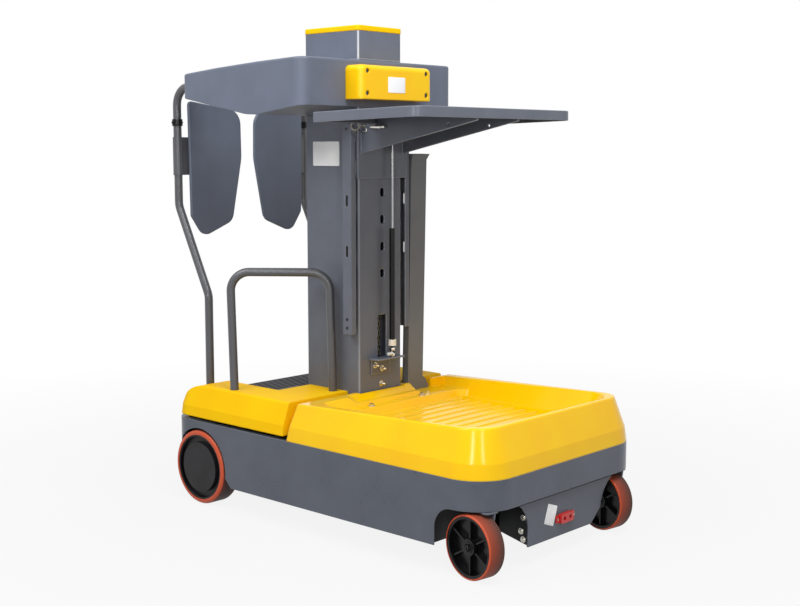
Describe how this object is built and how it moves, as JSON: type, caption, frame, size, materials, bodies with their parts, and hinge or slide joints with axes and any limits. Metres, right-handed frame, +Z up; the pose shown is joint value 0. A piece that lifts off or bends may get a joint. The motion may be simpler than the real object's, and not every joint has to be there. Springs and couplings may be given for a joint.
{
  "type": "order picker",
  "caption": "Compact self-propelled order picker: low yellow load tray, telescopic mast, rising operator platform with swing doors, wrap-round console and a height-adjustable load table",
  "frame": {"origin": "on the floor, under the middle of the overall box", "axes": "+X towards the load tray, +Y to the operator's left, +Z up"},
  "size_m": [1.4885, 0.796, 1.575],
  "materials": {
    "charcoal_paint": "charcoal powder coat, satin",
    "black_paint": "black enamel, satin",
    "yellow_moulding": "yellow moulded plastic, glossy",
    "grey_moulding": "grey moulded plastic, fine grain",
    "black_plastic": "black moulded plastic",
    "red_plastic": "red moulded plastic",
    "white_nylon": "white nylon",
    "zinc_steel": "zinc-plated steel",
    "chrome_rod": "hard chrome, ground",
    "chain_steel": "oiled chain steel",
    "cast_housing": "painted casting",
    "rubber": "black ribbed rubber",
    "orange_polyurethane": "cast orange polyurethane"
  },
  "bodies": {
    "chassis": {"base_skirt": "charcoal_paint", "chassis_frame": "charcoal_paint", "front_plate": "charcoal_paint", "charging_socket": "red_plastic", "chassis_bolts": "zinc_steel", "load_tray": "yellow_moulding", "fixed_mast": "charcoal_paint", "fixed_mast_pads": "white_nylon", "lift_cylinder": "black_paint", "fixed_chain_run": "chain_steel", "battery_pack": "black_plastic", "power_unit": "black_paint", "drive_motors": "cast_housing", "cable_chute": "charcoal_paint"},
    "middle_stage": {"middle_mast": "charcoal_paint", "middle_mast_pads": "white_nylon", "lift_rod": "chrome_rod"},
    "pulley": {"chain_pulley": "zinc_steel"},
    "platform": {"mast_column": "charcoal_paint", "column_pads": "white_nylon", "mast_cap": "charcoal_paint", "cap_lid": "yellow_moulding", "side_rails": "charcoal_paint", "lift_chain_run": "chain_steel", "platform_screws": "zinc_steel", "spring_bracket": "charcoal_paint", "gas_spring_cylinder": "black_paint", "spring_collar": "white_nylon", "platform_pan": "yellow_moulding", "floor_mat": "rubber", "platform_frame": "charcoal_paint", "guard_tubes": "charcoal_paint", "side_hoops": "charcoal_paint", "tube_collars": "black_plastic", "console_shell": "grey_moulding", "console_floor": "grey_moulding", "front_box": "yellow_moulding"},
    "table": {"table_top": "charcoal_paint", "table_carriage": "charcoal_paint", "carriage_pads": "white_nylon", "gas_spring_rod": "chrome_rod"},
    "lock_pin": {"lock_plunger": "zinc_steel"},
    "stop_button": {"estop_button": "red_plastic"},
    "lever": {"drive_lever": "black_plastic"},
    "rocker": {"lift_rocker": "black_plastic"},
    "pedal": {"foot_pedal": "rubber"},
    "right_door": {"right_door_panel": "grey_moulding", "right_door_hinge": "charcoal_paint"},
    "right_drive_wheel": {"right_drive_hub": "black_plastic", "right_drive_tyre": "orange_polyurethane"},
    "right_caster_fork": {"right_caster_yoke": "black_paint"},
    "right_caster_wheel": {"right_caster_hub": "black_plastic", "right_caster_tyre": "orange_polyurethane"},
    "left_door": {"left_door_panel": "grey_moulding", "left_door_hinge": "charcoal_paint"},
    "left_drive_wheel": {"left_drive_hub": "black_plastic", "left_drive_tyre": "orange_polyurethane"},
    "left_caster_fork": {"left_caster_yoke": "black_paint"},
    "left_caster_wheel": {"left_caster_hub": "black_plastic", "left_caster_tyre": "orange_polyurethane"}
  },
  "joints": [
    {"name": "mast_lift", "type": "slide", "parent": "chassis", "child": "middle_stage", "axis": [0, 0, 1], "range_m": [0, 1]},
    {"name": "platform_lift", "type": "slide", "parent": "middle_stage", "child": "platform", "axis": [0, 0, 1], "range_m": [0, 1]},
    {"name": "pulley_spin", "type": "hinge", "parent": "middle_stage", "child": "pulley", "pos_m": [-0.0765, 0.005, 1.446], "axis": [0, -1, 0], "continuous": true},
    {"name": "table_slide", "type": "slide", "parent": "platform", "child": "table", "axis": [0, 0, 1], "range_m": [-0.2655, 0]},
    {"name": "lock_pin_slide", "type": "slide", "parent": "table", "child": "lock_pin", "axis": [-1, 0, 0], "range_m": [0, 0.006]},
    {"name": "stop_press", "type": "slide", "parent": "platform", "child": "stop_button", "axis": [1, 0, 0], "range_m": [0, 0.006], "stiffness_N_per_m": 900},
    {"name": "lever_tilt", "type": "hinge", "parent": "platform", "child": "lever", "pos_m": [-0.339, -0.14, 1.39], "axis": [0, 1, 0], "range_deg": [-15, 15], "stiffness_Nm_per_rad": 6},
    {"name": "rocker_tilt", "type": "hinge", "parent": "platform", "child": "rocker", "pos_m": [-0.339, 0, 1.39], "axis": [0, 1, 0], "range_deg": [-8, 8], "stiffness_Nm_per_rad": 2},
    {"name": "pedal_press", "type": "hinge", "parent": "platform", "child": "pedal", "pos_m": [-0.328, -0.09, 0.36], "axis": [0, -1, 0], "range_deg": [0, 6], "stiffness_Nm_per_rad": 20, "springref_deg": -3.44},
    {"name": "right_door_swing", "type": "hinge", "parent": "platform", "child": "right_door", "pos_m": [-0.72, -0.2935, 1.16], "axis": [0, 0, -1], "range_deg": [0, 90], "stiffness_Nm_per_rad": 1.5},
    {"name": "right_drive_spin", "type": "hinge", "parent": "chassis", "child": "right_drive_wheel", "pos_m": [-0.504, -0.36, 0.125], "axis": [0, 1, 0], "continuous": true},
    {"name": "right_caster_swivel", "type": "hinge", "parent": "chassis", "child": "right_caster_fork", "pos_m": [0.676, -0.321, 0.19], "axis": [0, 0, 1], "continuous": true},
    {"name": "right_caster_spin", "type": "hinge", "parent": "right_caster_fork", "child": "right_caster_wheel", "pos_m": [0.65514, -0.35442, 0.093], "axis": [0.1392, 0.9903, 0], "continuous": true},
    {"name": "left_door_swing", "type": "hinge", "parent": "platform", "child": "left_door", "pos_m": [-0.72, 0.2935, 1.16], "axis": [0, 0, 1], "range_deg": [0, 90], "stiffness_Nm_per_rad": 1.5},
    {"name": "left_drive_spin", "type": "hinge", "parent": "chassis", "child": "left_drive_wheel", "pos_m": [-0.504, 0.36, 0.125], "axis": [0, 1, 0], "continuous": true},
    {"name": "left_caster_swivel", "type": "hinge", "parent": "chassis", "child": "left_caster_fork", "pos_m": [0.676, 0.321, 0.19], "axis": [0, 0, 1], "continuous": true},
    {"name": "left_caster_spin", "type": "hinge", "parent": "left_caster_fork", "child": "left_caster_wheel", "pos_m": [0.65514, 0.28758, 0.093], "axis": [0.1392, 0.9903, 0], "continuous": true}
  ],
  "couplings": [
    {"joint": "platform_lift", "follows": "mast_lift", "ratio": 1},
    {"joint": "pulley_spin", "follows": "mast_lift", "rad_per_m": 68.966}
  ]
}
